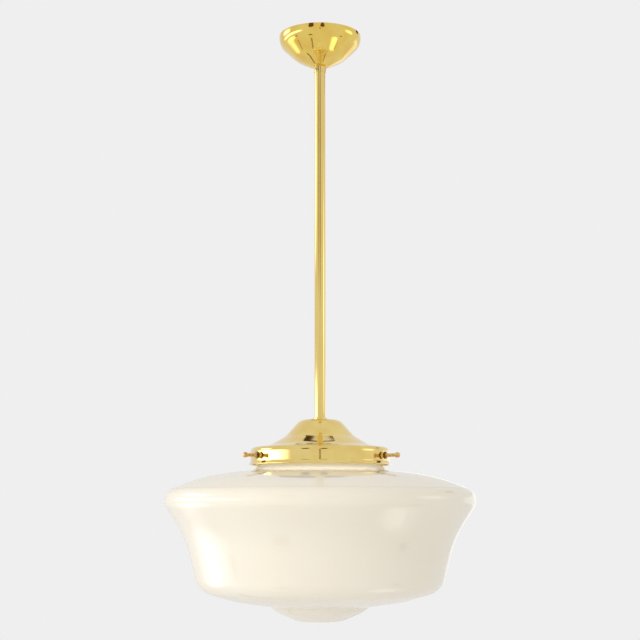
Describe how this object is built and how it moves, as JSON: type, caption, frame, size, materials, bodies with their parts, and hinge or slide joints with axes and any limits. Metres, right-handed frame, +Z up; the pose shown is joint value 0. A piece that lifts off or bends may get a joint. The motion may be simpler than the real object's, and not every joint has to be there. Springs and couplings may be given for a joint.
{
  "type": "pendant ceiling light",
  "caption": "Rigid-stem pendant ceiling light with a domed canopy, a flared gallery held by thumb screws and a closed schoolhouse opal glass shade with a drop bottom.",
  "frame": {"origin": "middle of the ceiling plate's top face, on the stem's axis; the ceiling is z = 0", "axes": "+Z up along the stem, +X along the line of the two fixing slots, -Y towards the side between the two front thumb screws"},
  "size_m": [0.3561, 0.3562, 0.6902],
  "materials": {
    "lacquered_brass": "polished, lacquered",
    "plain_brass": "machined",
    "zinc_steel": "zinc plated",
    "opal_glass": "glossy opal, fire polished",
    "clear_glass": "clear, smooth",
    "black_glass": "glossy",
    "ceramic": "glazed steatite",
    "nickel": "nickel plated",
    "nylon": "moulded nylon",
    "wire_brown": "PVC insulation",
    "wire_blue": "PVC insulation",
    "wire_green_yellow": "PVC insulation",
    "filament": "phosphor coating"
  },
  "bodies": {
    "ceiling": {"ceiling_plate": "zinc_steel", "ceiling_hook": "zinc_steel", "hook_nut": "zinc_steel"},
    "pendant": {"ring_nipple": "plain_brass", "earth_tag": "nickel", "earth_screw": "plain_brass", "stem": "lacquered_brass", "connector_block": "nylon", "connector_inserts": "plain_brass", "connector_screws": "zinc_steel", "wire_live": "wire_brown", "wire_neutral": "wire_blue", "wire_earth": "wire_green_yellow", "foot_collar": "lacquered_brass", "gallery": "lacquered_brass", "screw_bushes": "lacquered_brass", "nipple": "plain_brass", "nipple_washer": "zinc_steel", "nipple_nut": "zinc_steel", "holder_cap": "plain_brass", "holder_insert": "ceramic", "terminal_screws": "plain_brass", "holder_contact": "plain_brass", "screw_shell": "plain_brass", "holder_shell": "plain_brass", "glass_shade": "opal_glass"},
    "cover": {"canopy": "lacquered_brass", "slip_collar": "lacquered_brass"},
    "clamp": {"grub_screw": "zinc_steel"},
    "bulb_carriage": {"bulb_contact": "nickel"},
    "bulb": {"bulb_insulator": "black_glass", "bulb_cap": "nickel", "bulb_glass": "clear_glass", "bulb_mount": "clear_glass", "bulb_filaments": "filament"},
    "lock_1": {"lock_nut_1": "lacquered_brass"},
    "screw_1": {"thumb_screw_1": "lacquered_brass"},
    "lock_2": {"lock_nut_2": "lacquered_brass"},
    "screw_2": {"thumb_screw_2": "lacquered_brass"},
    "lock_3": {"lock_nut_3": "lacquered_brass"},
    "screw_3": {"thumb_screw_3": "lacquered_brass"}
  },
  "joints": [
    {"name": "pendant_swing", "type": "hinge", "parent": "ceiling", "child": "pendant", "pos_m": [0, 0, -0.0165], "axis": [0, 1, 0], "range_deg": [-1.5, 1.5]},
    {"name": "canopy_slide", "type": "slide", "parent": "pendant", "child": "cover", "axis": [0, 0, 1], "range_m": [-0.413, 0]},
    {"name": "grub_travel", "type": "slide", "parent": "cover", "child": "clamp", "axis": [-0.5, -0.866, 0], "range_m": [0, 0.0005]},
    {"name": "bulb_travel", "type": "slide", "parent": "pendant", "child": "bulb_carriage", "axis": [0, 0, -1], "range_m": [0, 0.024]},
    {"name": "bulb_turn", "type": "hinge", "parent": "bulb_carriage", "child": "bulb", "pos_m": [0, 0, -0.524], "axis": [0, 0, -1], "range_deg": [0, 2380]},
    {"name": "screw_1_travel", "type": "slide", "parent": "pendant", "child": "lock_1", "axis": [-0.848, -0.5299, 0], "range_m": [0, 0.006]},
    {"name": "screw_1_turn", "type": "hinge", "parent": "lock_1", "child": "screw_1", "pos_m": [-0.07022, -0.04388, -0.505], "axis": [-0.848, -0.5299, 0], "range_deg": [0, 3085.72]},
    {"name": "screw_2_travel", "type": "slide", "parent": "pendant", "child": "lock_2", "axis": [0.8829, -0.4695, 0], "range_m": [0, 0.006]},
    {"name": "screw_2_turn", "type": "hinge", "parent": "lock_2", "child": "screw_2", "pos_m": [0.07311, -0.03887, -0.505], "axis": [0.8829, -0.4695, 0], "range_deg": [0, 3085.72]},
    {"name": "screw_3_travel", "type": "slide", "parent": "pendant", "child": "lock_3", "axis": [-0.0349, 0.9994, 0], "range_m": [0, 0.006]},
    {"name": "screw_3_turn", "type": "hinge", "parent": "lock_3", "child": "screw_3", "pos_m": [-0.00289, 0.08275, -0.505], "axis": [-0.0349, 0.9994, 0], "range_deg": [0, 3085.72]}
  ],
  "couplings": [
    {"joint": "bulb_travel", "follows": "bulb_turn", "m_per_rad": 0.00057757},
    {"joint": "screw_1_turn", "follows": "screw_1_travel", "rad_per_m": 8976},
    {"joint": "screw_2_turn", "follows": "screw_2_travel", "rad_per_m": 8976},
    {"joint": "screw_3_turn", "follows": "screw_3_travel", "rad_per_m": 8976}
  ]
}
